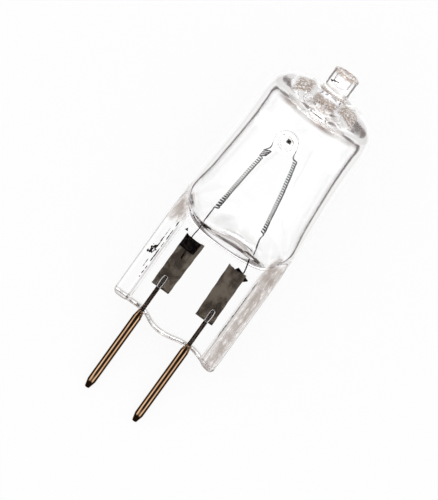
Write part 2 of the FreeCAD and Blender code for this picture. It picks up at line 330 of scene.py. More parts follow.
class Nodes:
    """Short way to place and join nodes in one tree."""

    def __init__(self, tree: bpy.types.NodeTree) -> None:
        """Takes the tree that the nodes go into."""
        self.tree = tree

    def node(self, kind: str, **inputs: object) -> bpy.types.Node:
        """Adds a node and sets its inputs.

        Args:
            kind: The node's type name.
            **inputs: Values or sockets, by input name with underscores for spaces.

        Returns:
            The new node.
        """
        made = self.tree.nodes.new(kind)
        for name, value in inputs.items():
            self.feed(made.inputs[name.replace("_", " ")], value)
        return made

    def feed(self, socket: Socket, value: object) -> None:
        """Links a socket to an input, or sets its value.

        Args:
            socket: The input.
            value: The other socket, or the value.
        """
        if isinstance(value, Socket):
            self.tree.links.new(value, socket)
        else:
            socket.default_value = value

    def joined(self, kind: str, values: Sequence[object], **settings: object) -> bpy.types.Node:
        """Adds a node and feeds its first inputs, whose names may be alike.

        Args:
            kind: The node's type name.
            values: Values or sockets, in the order of the inputs.
            **settings: Properties of the node, set before its inputs are.

        Returns:
            The new node.
        """
        made = self.tree.nodes.new(kind)
        for name, setting in settings.items():
            setattr(made, name, setting)
        for socket, value in zip(made.inputs, values):
            self.feed(socket, value)
        return made

    def math(self, operation: str, first: object, second: object = 0.0) -> Socket:
        """Adds a Math node and returns its result."""
        return self.joined("ShaderNodeMath", (first, second), operation=operation).outputs[0]

    def vectors(self, operation: str, *values: object) -> bpy.types.Node:
        """Adds a Vector Math node, with outputs Vector and Value."""
        return self.joined("ShaderNodeVectorMath", values, operation=operation)

    def blend(self, share: object, first: Socket, second: Socket) -> Socket:
        """Mixes two shaders by a share and returns the result."""
        return self.joined("ShaderNodeMixShader", (share, first, second)).outputs[0]

    def mix(self, share: object, first: object, second: object) -> Socket:
        """Mixes two colours by a share and returns the result.

        Args:
            share: Share of the second colour.
            first: First colour or socket.
            second: Second colour or socket.

        Returns:
            The result.
        """
        made = self.tree.nodes.new("ShaderNodeMix")
        made.data_type = "RGBA"
        self.feed(made.inputs[0], share)
        self.feed(made.inputs[6], first)
        self.feed(made.inputs[7], second)
        return made.outputs[2]

    def spread(self, value: Socket, low: float, high: float) -> Socket:
        """Maps a value from low and high to 0 and 1 and returns the result."""
        return self.node("ShaderNodeMapRange", Value=value, From_Min=low, From_Max=high).outputs[0]

    def ramp(self, value: Socket, stops: Sequence[tuple[float, Point]]) -> Socket:
        """Colours by a value.

        Args:
            value: Where to read the colours.
            stops: Position and colour of each stop, in rising order.

        Returns:
            The colour's socket.
        """
        made = self.joined("ShaderNodeValToRGB", (value,))
        made.color_ramp.interpolation = "EASE"
        made.color_ramp.elements.remove(made.color_ramp.elements[1])
        for number, (position, colour) in enumerate(stops):
            stop = made.color_ramp.elements.new(position) if number else made.color_ramp.elements[0]
            stop.color = (*colour, 1.0)
        return made.outputs[0]


class Shader(Nodes):
    """A material's tree, with its Principled shader."""

    def __init__(self, name: str) -> None:
        """Makes the material.

        Args:
            name: The material's name.
        """
        self.material = bpy.data.materials.new(name)
        self.material.use_nodes = True
        super().__init__(self.material.node_tree)
        self.surface = self.tree.nodes["Principled BSDF"]

    def upright(self, place: LampPlace) -> Socket:
        """Object coordinates turned to the upright lamp, in millimetres.

        Args:
            place: Where the upright lamp lies.

        Returns:
            The coordinates' socket.
        """
        back = place.matrix().inverted()
        where = self.tree.nodes.new("ShaderNodeTexCoord")
        turned = self.node("ShaderNodeMapping", Vector=where.outputs["Object"])
        turned.inputs["Location"].default_value = back.to_translation()
        turned.inputs["Rotation"].default_value = back.to_euler()
        turned.inputs["Scale"].default_value = (1 / MM,) * 3
        return turned.outputs[0]

    def set(self, **values: object) -> None:
        """Sets or links inputs of the Principled shader, by name with underscores for spaces."""
        for name, value in values.items():
            self.feed(self.surface.inputs[name.replace("_", " ")], value)

    def grain(self, vector: Socket, stretch: Point, scale: float, low: float,
              high: float) -> bpy.types.Node:
        """Places the shared grain group.

        Args:
            vector: Coordinates in millimetres.
            stretch: How much the pattern is packed along each axis.
            scale: Size of the noise.
            low: Noise value that gives a mask of 0.
            high: Noise value that gives a mask of 1.

        Returns:
            The group's node, with outputs Mask and Height.
        """
        packed = self.node("ShaderNodeMapping", Vector=vector)
        packed.inputs["Scale"].default_value = stretch
        inputs = (packed.outputs[0], scale, low, high)
        return self.joined("ShaderNodeGroup", inputs, node_tree=grain_group())

    def bump(self, height: Socket, depth: float, strength: float = 1.0) -> Socket:
        """Adds a Bump node for a height in millimetres and returns its normal."""
        made = self.node("ShaderNodeBump", Height=height, Strength=strength, Distance=depth * MM)
        return made.outputs[0]


def grain_group() -> bpy.types.NodeTree:
    """Shared group: noise cut to a mask between two values, with its height.

    Returns:
        The group, made on the first call.
    """
    name = "grain"
    if name in bpy.data.node_groups:
        return bpy.data.node_groups[name]
    group = bpy.data.node_groups.new(name, "ShaderNodeTree")
    face = group.interface
    face.new_socket("Place", in_out="INPUT", socket_type="NodeSocketVector")
    for label in ("Scale", "Low", "High"):
        face.new_socket(label, in_out="INPUT", socket_type="NodeSocketFloat")
    for label in ("Mask", "Height"):
        face.new_socket(label, in_out="OUTPUT", socket_type="NodeSocketFloat")
    nodes = Nodes(group)
    start = nodes.node("NodeGroupInput").outputs
    noise = nodes.node("ShaderNodeTexNoise", Vector=start["Place"], Scale=start["Scale"],
                       Detail=5.0, Roughness=0.6)
    mask = nodes.node("ShaderNodeMapRange", Value=noise.outputs[0], From_Min=start["Low"],
                      From_Max=start["High"])
    mask.interpolation_type = "SMOOTHSTEP"
    nodes.node("NodeGroupOutput", Mask=mask.outputs[0], Height=noise.outputs[0])
    return group


@dataclass(frozen=True)
class Patch:
    """Box of the upright lamp in which the quartz gets a patchy brown tint and a rougher surface, with soft
    edges.
    """

    low: Point
    high: Point
    soft: float
    share: float = 1.0


@dataclass(frozen=True)
class QuartzFinish:
    """Clear fused quartz, with faint waves and patchy brown stain where the glass was formed, with painted
    dark edge shade along its edges, creases and hollows, and a painted glow for rays trapped deep inside;
    the brown at both sides of the stub's foot is painted reflection.
    """

    ior: float = 1.46
    clear: Point = (0.998, 0.998, 0.998)
    toned: Point = (0.9, 0.86, 0.84)
    brown: Point = (0.24, 0.17, 0.13)
    # Colour of the painted dark shade on edges, creases and hollows.
    shade_colour: Point = (0.16, 0.11, 0.09)
    waves: tuple[Point, float, float, float] = ((1.0, 1.0, 0.35), 0.9, 0.35, 0.75)
    wave_depth: float = 0.02
    wave_strength: float = 0.35
    spots: tuple[Point, float, float, float] = ((1.0, 1.0, 0.3), 3.4, 0.37, 0.52)
    stain_depth: float = 0.12
    # Painted glow: rays deeper than this depth make the quartz emit a light-guide grey, though it is no
    # lamp.
    trapped_depth: float = 5.5
    painted_glow: Point = (0.84, 0.83, 0.82)
    patches: tuple[Patch, ...] = (
        Patch((5.5, -2.5, 9.6), (6.9, 2.5, 21.0), 0.35, 0.66),
        Patch((5.0, -3.2, 20.4), (7.1, 3.2, 23.9), 0.5, 0.7),
        Patch((-7.1, -3.2, 20.9), (-5.3, 3.2, 24.2), 0.5, 0.7),
        Patch((-1.8, -1.8, 44.7), (1.8, 1.8, 45.4), 0.3),
        Patch((-1.8, -1.8, 42.0), (1.8, 1.8, 43.0), 0.4),
        # Painted reflection: patchy brown at the left side of the stub's foot, standing in for the lip
        # ring's reflection.
        Patch((-4.2, -4.4, 41.0), (-2.0, -1.2, 43.2), 0.3),
        Patch((-1.7, -5.2, 41.0), (1.3, -3.5, 43.2), 0.3),
        # Painted reflection: patchy brown at the right side of the stub's foot, standing in for the lip
        # ring's reflection.
        Patch((1.3, -4.5, 41.0), (3.8, -1.4, 43.2), 0.3),
    )

    def inside(self, shader: Shader, place: Socket, patch: Patch) -> Socket:
        """Mask of the patch's share inside it and 0 outside.

        Args:
            shader: The material's tree.
            place: Coordinates in the upright lamp's millimetres.
            patch: The box.

        Returns:
            The mask's socket.
        """
        split = shader.node("ShaderNodeSeparateXYZ", Vector=place)
        mask = None
        for axis in range(3):
            middle = (patch.low[axis] + patch.high[axis]) / 2
            half = (patch.high[axis] - patch.low[axis]) / 2
            off = shader.math("ABSOLUTE", shader.math("SUBTRACT", split.outputs[axis], middle))
            edge = shader.math("DIVIDE", shader.math("SUBTRACT", half, off), patch.soft)
            mask = edge if mask is None else shader.math("MINIMUM", mask, edge)
        held = shader.math("MAXIMUM", mask, 0.0)
        return shader.math("MULTIPLY", shader.math("MINIMUM", held, 1.0), patch.share)

    def build(self, place: LampPlace) -> bpy.types.Material:
        """Makes the material.

        Args:
            place: Where the upright lamp lies, for the patterns.

        Returns:
            The material.
        """
        shader = Shader("quartz")
        where = shader.upright(place)
        waves = shader.grain(where, *self.waves)
        spots = shader.grain(where, *self.spots)
        # The boxes' mask holds the stains and the painted reflection beside the stub.
        stain_and_painted_reflection = None
        for patch in self.patches:
            mask = self.inside(shader, where, patch)
            stain_and_painted_reflection = mask if stain_and_painted_reflection is None else shader.math("MAXIMUM", stain_and_painted_reflection, mask)
        smooth = shader.bump(waves.outputs["Height"], self.wave_depth, self.wave_strength)
        rough = shader.node("ShaderNodeBump", Height=spots.outputs["Height"], Strength=stain_and_painted_reflection,
                            Distance=self.stain_depth * MM, Normal=smooth)
        worked = shader.node("ShaderNodeAttribute")
        worked.attribute_name = "worked"
        patchy = shader.math("MULTIPLY", stain_and_painted_reflection, spots.outputs["Mask"])
        toned = shader.mix(stain_and_painted_reflection, (*self.clear, 1.0), (*self.toned, 1.0))
        clean = shader.mix(patchy, toned, (*self.brown, 1.0))
        # Painted glow: past the trapped depth the quartz emits its tint times the glow grey, though it is no
        # lamp.
        paths = shader.node("ShaderNodeLightPath")
        trapped = shader.math("GREATER_THAN", paths.outputs["Ray Depth"], self.trapped_depth)
        shader.material.cycles.emission_sampling = "NONE"
        # Painted shade: marked edges, creases and hollows darken the glass tint.
        tint = shader.mix(worked.outputs["Fac"], clean, (*self.shade_colour, 1.0))
        painted_glow = shader.mix(trapped, (0.0, 0.0, 0.0, 1.0), (*self.painted_glow, 1.0))
        glow = shader.vectors("MULTIPLY", painted_glow, tint)
        shader.set(
            Emission_Color=glow.outputs[0],
            Emission_Strength=1.0,
            Base_Color=tint,
            Roughness=0.0,
            IOR=self.ior,
            Transmission_Weight=1.0,
            Normal=rough.outputs[0],
        )
        return shader.material


@dataclass(frozen=True)
class MetalFinish:
    """Drawn or rolled metal with streaks along z and a darker tarnish."""

    name: str
    bright: Point
    dark: Point
    roughness: float
    roughness_spread: float
    stretch: Point
    scale: float
    depth: float
    low: float = 0.4
    high: float = 0.65

    def build(self, place: LampPlace) -> bpy.types.Material:
        """Makes the material.

        Args:
            place: Where the upright lamp lies, for the patterns.

        Returns:
            The material.
        """
        shader = Shader(self.name)
        where = shader.upright(place)
        streaks = shader.grain(where, self.stretch, self.scale, self.low, self.high)
        mask = streaks.outputs["Mask"]
        spread = shader.math("MULTIPLY", mask, self.roughness_spread)
        shader.set(
            Base_Color=shader.mix(mask, (*self.bright, 1.0), (*self.dark, 1.0)),
            Metallic=1.0,
            Roughness=shader.math("ADD", spread, self.roughness),
            Normal=shader.bump(streaks.outputs["Height"], self.depth),
        )
        return shader.material


@dataclass
class Quartz:
    """Envelope: the tube with its pinch, dimples, top and stub, and the hollows in it."""

    corners: int = 64
    half_width: float = 7.05
    web_half: float = 1.3
    tube_radius: float = 6.5
    inner_radius: float = 5.5
    foot: float = 10.75
    corner_radius: float = 0.55
    flat_foot: float = 12.0
    flat_top: float = 21.0
    oval_blend: tuple[float, float] = (21.6, 26.2)
    rib_blend: tuple[float, float] = (24.6, 26.4)
    shoulder_top: float = 31.5
    squeeze_start: float = 0.26
    outer_reach: float = 10.0
    outer_pressed: float = 1.1
    inner_reach: float = 8.5
    inner_pressed: float = 0.35
    post_x: float = -1.05
    post_z: float = 35.2
    pin_x: float = 3.175
    dimple_lean: float = 0.21
    outer_mouth: float = 2.4
    inner_mouth: float = 2.55
    outer_step: float = 0.58
    inner_step: float = 0.55
    hole_shift: int = 2
    hole_reach: int = 4
    void_corners: int = 24
    # Amounts of painted dark shade on the pinch's edges, the lower edge, the stub's rim and the lead voids.
    edge_shades: tuple[tuple[int, float], ...] = ((8, 0.7), (14, 0.35), (15, 0.6), (16, 0.6))
    foot_shade: float = 0.85
    rim: tuple[float, float] = (45.1, 45.3)
    rim_shade: float = 0.5
    void_shade: float = 0.9

    def bottom(self, x: float) -> float:
        """Height of the pinch's uneven lower edge at an x.

        Args:
            x: Where to read it.

        Returns:
            The height.
        """
        knots = ((-3.1, self.foot), (-1.1, 9.82), (0.3, 9.8), (2.2, 10.25), (3.4, 10.4), (6.6, 9.65))
        corner = max(0.0, abs(x) - self.half_width + self.corner_radius)
        rounding = self.corner_radius - math.sqrt(max(0.0, self.corner_radius**2 - corner**2))
        return along_curve(x, knots) + rounding

    def pinch_section(self, share: float) -> tuple[float, float]:
        """Point of a quarter of the pinch's section, from its middle line round to its side.

        Args:
            share: Share of the way round the quarter.

        Returns:
            The point's x as a share of the half width, and its depth.
        """
        flat = [(x, self.web_half) for x in (0.0, 0.125, 0.25, 0.37, 0.48, 0.58, 0.67)]
        outline = flat + [
            (0.728, 1.31), (0.75, 1.48), (0.772, 1.8), (0.805, 1.9), (0.87, 1.91), (0.93, 1.9),
            (0.972, 1.8), (0.996, 1.5), (1.0, 0.8), (1.0, 0.0),
        ]
        return outline[round(share * (len(outline) - 1))]

    def squeezed(self, z: float, reach: float, full: float, pressed: float) -> float:
        """Half depth of a skin that is squeezed from the round tube down to the pinch.

        Args:
            z: Where to read it.
            reach: Height over which the skin is squeezed.
            full: Half depth in the tube.
            pressed: Half depth at the pinch.

        Returns:
            The half depth.
        """
        share = (self.shoulder_top - z) / reach
        squeeze = min(1.0, max(0.0, (share - self.squeeze_start) / (1 - self.squeeze_start)))
        return pressed + (full - pressed) * math.cos(math.pi / 2 * squeeze)

    def outer_ring(self, z: float, squash: float = 1.0, lift: float = 0.0,
                   at_foot: bool = False) -> list[Point]:
        """Ring of the outer skin below the dome.

        Args:
            z: Height of the ring.
            squash: Share of the full depth.
            lift: Height above the lower edge, for rings that follow it.
            at_foot: Whether the ring follows the lower edge.

        Returns:
            The ring's corners.
        """
        quarter = self.corners // 4
        blend = smooth_step(z, *self.oval_blend)
        rib = 1 - smooth_step(z, *self.rib_blend)
        half = along_curve(z, ((24.0, self.half_width), (36.0, self.tube_radius)))
        deep = self.squeezed(z, self.outer_reach, self.tube_radius, self.outer_pressed)
        places = []
        for number in range(self.corners):
            side, step = divmod(number, quarter)
            share = step / quarter if side % 2 == 0 else 1 - step / quarter
            across, pressed = self.pinch_section(share)
            across = across + (math.sin(share * math.pi / 2) - across) * blend
            oval = deep * math.sqrt(max(0.0, 1 - across * across))
            depth = pressed if z < self.flat_top else soft_max(oval, pressed * rib, 0.5 * rib + 0.001)
            if share == 1:
                depth = 0.0
            x = half * across * (1 if side < 2 else -1)
            y = depth * squash * (1 if side in (0, 3) else -1)
            places.append((x, y, self.bottom(x) + lift if at_foot else z))
        return places

    def round_ring(self, radius: float, z: float, wave: float = 0.0) -> list[Point]:
        """Round ring of the skin, melted a little uneven and lower at the back by the wave.

        Args:
            radius: The ring's radius.
            z: Its height.
            wave: How uneven it is.

        Returns:
            The ring's corners.
        """
        places = []
        for number in range(self.corners):
            angle = TAU * number / self.corners
            rise = (0.6 * math.sin(2 * angle + 0.6) + 0.4 * math.sin(3 * angle - 0.4)
                    - 4 * max(0.0, math.cos(angle)))
            places.append((radius * math.sin(angle), radius * math.cos(angle), z + wave * rise))
        return places

    def dimple(self, skin: Skin, first: int, side: int, tube: float, mouth: float,
               rings: Sequence[tuple[float, float]]) -> list[Vert]:
        """Opens a round hole in a skin and grows it inwards about the post's axis.

        Args:
            skin: The skin to open.
            first: Number of the skin's lowest ring that the hole touches.
            side: -1 for the front, 1 for the back.
            tube: Radius of the skin's tube.
            mouth: Radius of the hole.
            rings: Radius of each ring, and its depth as a share of the tube's own.

        Returns:
            The last ring.
        """
        middle = -self.hole_shift if side > 0 else self.corners // 2 + self.hole_shift
        lowest = first if side > 0 else first + self.hole_reach

        def surface(x: float, z: float) -> float:
            """Depth of the tube's surface."""
            return side * math.sqrt(tube * tube - x * x)

        centre = self.post_z - self.dimple_lean * side * tube
        rows = range(lowest, lowest + 2 * self.hole_reach + 1)
        columns = range(middle - self.hole_reach, middle + self.hole_reach + 1)
        edge = skin.open_round_hole(rows, columns, (self.post_x, centre), mouth, surface)
        angles = [math.atan2(v.co.z - centre, v.co.x - self.post_x) for v in edge]
        for radius, share in rings:
            places = []
            for angle in angles:
                x = self.post_x + radius * math.cos(angle)
                y = surface(x, 0) * share
                places.append((x, y, self.post_z - self.dimple_lean * y + radius * math.sin(angle)))
            edge = skin.extrude(edge, places)
        return edge

    def outer_skin(self) -> Mesh:
        """Outer surface from the pinch's foot to the blind bottom of the stub's bore.

        Returns:
            The closed mesh.
        """
        skin = Skin(self.outer_ring(self.flat_foot, 0.0, 0.0, True))
        for squash, lift in ((0.5, 0.01), (0.8, 0.03), (0.93, 0.07), (0.99, 0.14), (1.0, 0.28), (1.0, 0.9)):
            skin.grow(self.outer_ring(self.flat_foot, squash, lift, True))
        for z in (12.4, 13.6, 15.0, 16.6, 18.2, 19.6, 20.6, 21.3, 21.8, 22.2, 22.6, 23.1, 23.7, 24.3,
                  24.9, 25.5, 26.1, 26.8, 27.6, 28.5, 29.4, 30.3, 31.1):
            skin.grow(self.outer_ring(z))
        first = len(skin.rings)
        for step in range(-6, 7):
            skin.grow(self.outer_ring(self.post_z + self.outer_step * step))
        for ring in (
            (6.46, 39.2), (6.34, 39.9), (6.08, 40.6), (5.64, 41.3, 0.01), (5.1, 41.78, 0.03),
            (4.4, 42.15, 0.06), (3.6, 42.5, 0.1), (3.05, 42.7, 0.13), (2.7, 42.74, 0.13),
            (2.35, 42.58, 0.12), (2.05, 42.34, 0.09), (1.85, 42.2, 0.06), (1.66, 42.22, 0.03),
            (1.59, 42.5), (1.575, 43.3), (1.575, 44.2), (1.575, 44.9), (1.53, 45.13), (1.38, 45.23),
            (1.12, 45.2), (0.9, 45.05), (0.82, 44.8), (0.81, 44.3), (0.76, 43.85), (0.6, 43.53),
            (0.35, 43.4),
        ):
            skin.grow(self.round_ring(*ring))
        skin.close(skin.rings[-1])
        self.mark_edges(skin)
        bell = ((1.3, 1.0), (0.95, 0.999), (0.82, 0.994), (0.76, 0.98), (0.72, 0.95), (0.69, 0.85),
                (0.66, 0.65), (0.63, 0.45), (0.61, 0.27), (0.59, 0.17), (0.54, 0.13), (0.4, 0.12),
                (0.2, 0.12))
        for side in (1, -1):
            skin.close(self.dimple(skin, first, side, self.tube_radius, self.outer_mouth, bell))
        return skin.finish()

    def mark_edges(self, skin: Skin) -> None:
        """Paints dark edge shade along the lower edge, the pinch's corners and the stub's rim.

        Args:
            skin: The outer skin, before its dimples.
        """
        quarter = self.corners // 4
        for number in range(self.corners):
            side, step = divmod(number, quarter)
            place = step if side % 2 == 0 else quarter - step
            amount = dict(self.edge_shades).get(place, 0.0)
            column = [ring[number] for ring in skin.rings[:16] if ring[number].co.z < self.flat_top]
            skin.mark(column, amount)
        for ring in skin.rings[1:5]:
            skin.mark(ring, self.foot_shade)
        for ring in skin.rings:
            if ring[0].is_valid and self.rim[0] < ring[0].co.z < self.rim[1]:
                skin.mark(ring, self.rim_shade)

    def inside_ring(self, z: float, depth: Optional[float] = None, width: Optional[float] = None,
                    follow: float = 0.0) -> list[Point]:
        """Ring of the cavity's skin.

        Args:
            z: Height of the ring.
            depth: Half depth, where it isn't the pressed wedge's own.
            width: Half width, where it isn't the pressed wedge's own.
            follow: How far the ring follows the wavy lower edge.

        Returns:
            The ring's corners.
        """
        deep = self.squeezed(z, self.inner_reach, self.inner_radius, self.inner_pressed)
        deep = deep if depth is None else depth
        wide = along_curve(z, ((22.8, 5.5), (25.0, 6.08), (36.5, 5.5))) if width is None else width
        places = []
        for number in range(self.corners):
            angle = TAU * number / self.corners
            x = wide * math.sin(angle)
            wave = 0.25 * math.sin(x * 0.8 + 0.9) + 0.012 * x * x
            places.append((x, deep * math.cos(angle), z + follow * wave))
        return places

    def cavity_skin(self) -> Mesh:
        """Surface of the room inside, with the post as a handle from front to back.

        Returns:
            The closed mesh.
        """
        skin = Skin(self.inside_ring(23.0, 0.0, 5.35, 1.0))
        for z, depth, width, follow in ((23.05, 0.2, 5.5, 1.0), (23.2, 0.38, 5.62, 0.9)):
            skin.grow(self.inside_ring(z, depth, width, follow))
        for z in (23.5, 23.9, 24.4, 25.0, 25.7, 26.5, 27.4, 28.4, 29.4, 30.4, 31.2):
            skin.grow(self.inside_ring(z, follow=1 - smooth_step(z, 23.2, 25.0)))
        first = len(skin.rings)
        for step in range(-6, 7):
            skin.grow(self.inside_ring(self.post_z + self.inner_step * step))
        for ring in (
            (5.48, 38.9), (5.38, 39.35), (5.2, 39.69), (5.14, 39.77), (5.07, 39.84), (4.78, 40.08),
            (4.2, 40.32), (3.4, 40.45), (2.5, 40.45), (1.8, 40.4), (1.3, 40.36), (0.98, 40.45),
            (0.84, 40.75), (0.79, 41.3), (0.77, 41.9), (0.68, 42.28), (0.45, 42.47), (0.2, 42.5),
        ):
            skin.grow(self.round_ring(*ring))
        self.mark_crease(skin, slice(first + 15, first + 18))
        skin.close(skin.rings[-1])
        bell = ((1.7, 1.0), (1.3, 0.999), (1.12, 0.993), (1.02, 0.975), (0.97, 0.94), (0.94, 0.85),
                (0.92, 0.65), (0.9, 0.45), (0.88, 0.28), (0.86, 0.14), (0.84, 0.0))
        for side in (1, -1):
            self.dimple(skin, first, side, self.inner_radius, self.inner_mouth, bell)
        return skin.finish(inside_out=True)

    def mark_crease(self, skin: Skin, rings: slice) -> None:
        """Paints uneven dark shade along the front of the room's top edge, a painted shade in the crease.

        Args:
            skin: The room's skin.
            rings: Numbers of the edge's rings.
        """
        for number in range(self.corners):
            angle = TAU * number / self.corners
            front = min(1.0, 1.6 * max(0.0, -math.cos(angle)))
            amount = front * (0.75 + 0.25 * math.sin(7 * angle))
            skin.mark([ring[number] for ring in skin.rings[rings]], amount)

    def lead_void(self, side: Side) -> Mesh:
        """Gap that the glass leaves round an outer lead.

        Args:
            side: Which lead.

        Returns:
            The closed mesh.
        """
        centre = side.value * self.pin_x
        profile = ((0.05, 13.78), (0.26, 13.8), (0.3, 14.0), (0.34, 14.4), (0.35, 14.8),
                   (0.33, 15.12), (0.27, 15.36), (0.17, 15.46), (0.05, 15.47))
        turns = [TAU * number / self.void_corners for number in range(self.void_corners)]
        rings = [[(centre + radius * math.sin(turn), radius * math.cos(turn), z) for turn in turns]
                 for radius, z in profile]
        skin = Skin(rings[0])
        for ring in rings[1:]:
            skin.grow(ring)
        # The whole void gets painted dark shade.
        for ring in skin.rings:
            skin.mark(ring, self.void_shade)
        skin.close(skin.rings[-1])
        skin.close(skin.rings[0])
        return skin.finish(inside_out=True)

    def build(self, place: LampPlace) -> None:
        """Makes the envelope and puts it in the model's frame.

        Args:
            place: Where the upright lamp lies.
        """
        hollows = [self.cavity_skin(), self.lead_void(Side.LEFT), self.lead_void(Side.RIGHT)]
        whole = merged([self.outer_skin()] + hollows)
        Piece("quartz_envelope", whole, QuartzFinish().build(place), "quartz", "envelope", 1).add(place)


def turned(profile: Sequence[tuple[float, float]], x: float, segments: int) -> Mesh:
    """Round solid about an upright axis.

    Args:
        profile: Radius and height of the outline, from its foot on the axis to its top on the axis.
        x: Where the axis stands.
        segments: Faces round the solid.

    Returns:
        The closed mesh.
    """
    bm = bmesh.new()
    verts = [bmesh.ops.create_vert(bm, co=(radius, 0, z))["vert"][0] for radius, z in profile]
    edges = [bm.edges.new(pair) for pair in zip(verts, verts[1:])]
    bmesh.ops.spin(bm, geom=verts + edges, cent=(0, 0, 0), axis=(0, 0, 1), angle=TAU,
                   steps=segments, use_merge=True)
    bmesh.ops.remove_doubles(bm, verts=bm.verts, dist=1e-5)
    bmesh.ops.recalc_face_normals(bm, faces=bm.faces)
    bmesh.ops.translate(bm, vec=(x, 0, 0), verts=bm.verts)
    return bm


@dataclass
class ContactPins:
    """The two contact pins and the leads that stand in them."""

    x: float = 3.175
    radius: float = 0.5
    length: float = 10.6
    tip_radius: float = 0.285
    tip_taper: float = 0.9
    neck_radius: float = 0.33
    neck_taper: float = 0.86
    lead_radius: float = 0.25
    lead_foot: float = 4.6
    lead_top: float = 15.35
    segments: int = 48

    def pin(self, side: Side) -> Mesh:
        """One pin, with softened edges and a hollow neck.

        Args:
            side: Which pin.

        Returns:
            The closed mesh.
        """
        shoulder = self.length - self.neck_taper
        profile = (
            (0, 0), (self.tip_radius - 0.08, 0), (self.tip_radius, 0.05),
            (self.radius - 0.05, self.tip_taper - 0.16), (self.radius, self.tip_taper + 0.05),
            (self.radius, 2.0), (self.radius, 4.0), (self.radius, 6.0), (self.radius, 8.0),
            (self.radius, shoulder - 0.1), (self.radius - 0.015, shoulder - 0.02),
            (self.radius - 0.035, shoulder + 0.04), (self.neck_radius + 0.01, self.length - 0.05),
            (self.neck_radius - 0.02, self.length), (self.lead_radius, self.length),
            (self.lead_radius, self.lead_foot), (0, self.lead_foot),
        )
        return turned(profile, side.value * self.x, self.segments)

    def lead(self, side: Side) -> Mesh:
        """One outer lead, drawn in a little at its upper end.

        Args:
            side: Which lead.

        Returns:
            The closed mesh.
        """
        radius = self.lead_radius
        profile = (
            (0, self.lead_foot), (radius, self.lead_foot), (radius, 11.0), (radius - 0.01, 12.6),
            (radius, 14.0), (radius - 0.03, 15.0), (radius - 0.08, self.lead_top - 0.06),
            (radius - 0.14, self.lead_top), (0, self.lead_top),
        )
        return turned(profile, side.value * self.x, self.segments // 2)

    def build(self, place: LampPlace) -> None:
        """Makes both pins and both leads.

        Args:
            place: Where the upright lamp lies.
        """
        bronze = MetalFinish("bronze_pin", (0.36, 0.24, 0.15), (0.26, 0.16, 0.09), 0.07, 0.05,
                             (3.0, 3.0, 0.25), 2.2, 0.004).build(place)
        grey = MetalFinish("lead_wire", (0.07, 0.05, 0.04), (0.02, 0.013, 0.011), 0.3, 0.2,
                           (2.0, 2.0, 0.5), 2.0, 0.01).build(place)
        for side in Side:
            end = side.label
            Piece(f"contact_pin_{end}", self.pin(side), bronze, "pin", f"pin_{end}").add(place)
            Piece(f"lead_wire_{end}", self.lead(side), grey, "lead", f"outer_lead_{end}").add(place)


